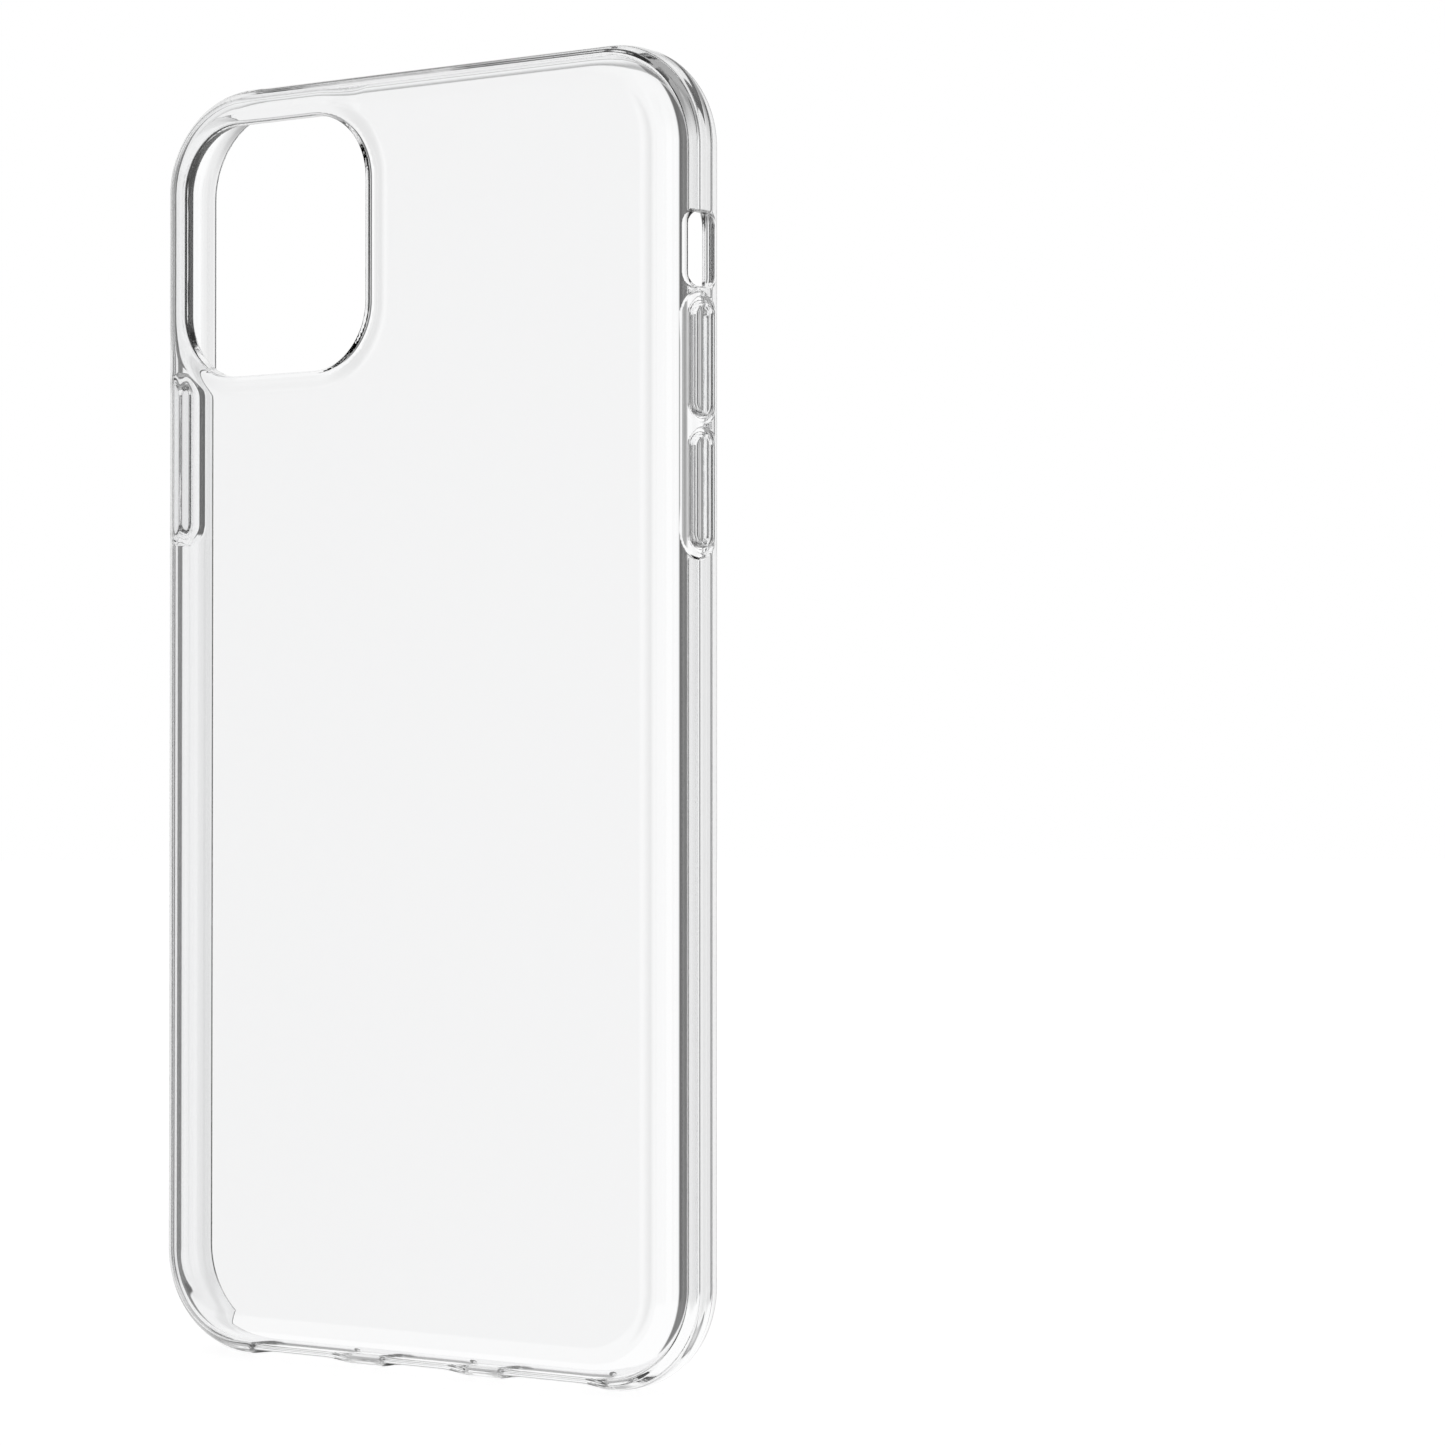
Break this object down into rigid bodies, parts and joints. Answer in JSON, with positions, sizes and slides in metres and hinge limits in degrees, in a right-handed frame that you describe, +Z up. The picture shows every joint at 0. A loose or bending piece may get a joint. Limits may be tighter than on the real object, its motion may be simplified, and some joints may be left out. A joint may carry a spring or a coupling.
{
  "type": "phone case",
  "caption": "Clear flexible phone case with raised camera guard, press-through side buttons, switch opening, bottom port and speaker slots and a raised front lip.",
  "frame": {"origin": "under the middle of the case's bounding box, on the surface that its bottom edge stands on", "axes": "+Z up along the case's height, +Y from the back panel towards the open front, +X towards the side with the volume buttons, which is the right-hand side seen from behind"},
  "size_m": [0.0786, 0.0106, 0.1534],
  "materials": {
    "clear_soft_plastic": "clear, glossy, soft moulded polyurethane",
    "clear_button_plastic": "clear, glossy, soft moulded polyurethane"
  },
  "bodies": {
    "shell": {"back_panel": "clear_soft_plastic", "camera_guard_ring": "clear_soft_plastic", "left_side_wall": "clear_soft_plastic", "right_side_wall": "clear_soft_plastic", "top_wall": "clear_soft_plastic", "bottom_wall": "clear_soft_plastic", "top_left_corner": "clear_soft_plastic", "top_right_corner": "clear_soft_plastic", "bottom_left_corner": "clear_soft_plastic", "bottom_right_corner": "clear_soft_plastic", "front_lip": "clear_soft_plastic", "power_button_web": "clear_soft_plastic", "volume_up_web": "clear_soft_plastic", "volume_down_web": "clear_soft_plastic"},
    "power_button": {"power_button_cover": "clear_button_plastic"},
    "volume_up": {"volume_up_cover": "clear_button_plastic"},
    "volume_down": {"volume_down_cover": "clear_button_plastic"}
  },
  "joints": [
    {"name": "power_press", "type": "slide", "parent": "shell", "child": "power_button", "axis": [1, 0, 0], "range_m": [0, 0.0004], "stiffness_N_per_m": 2500},
    {"name": "volume_up_press", "type": "slide", "parent": "shell", "child": "volume_up", "axis": [-1, 0, 0], "range_m": [0, 0.0004], "stiffness_N_per_m": 2500},
    {"name": "volume_down_press", "type": "slide", "parent": "shell", "child": "volume_down", "axis": [-1, 0, 0], "range_m": [0, 0.0004], "stiffness_N_per_m": 2500}
  ]
}
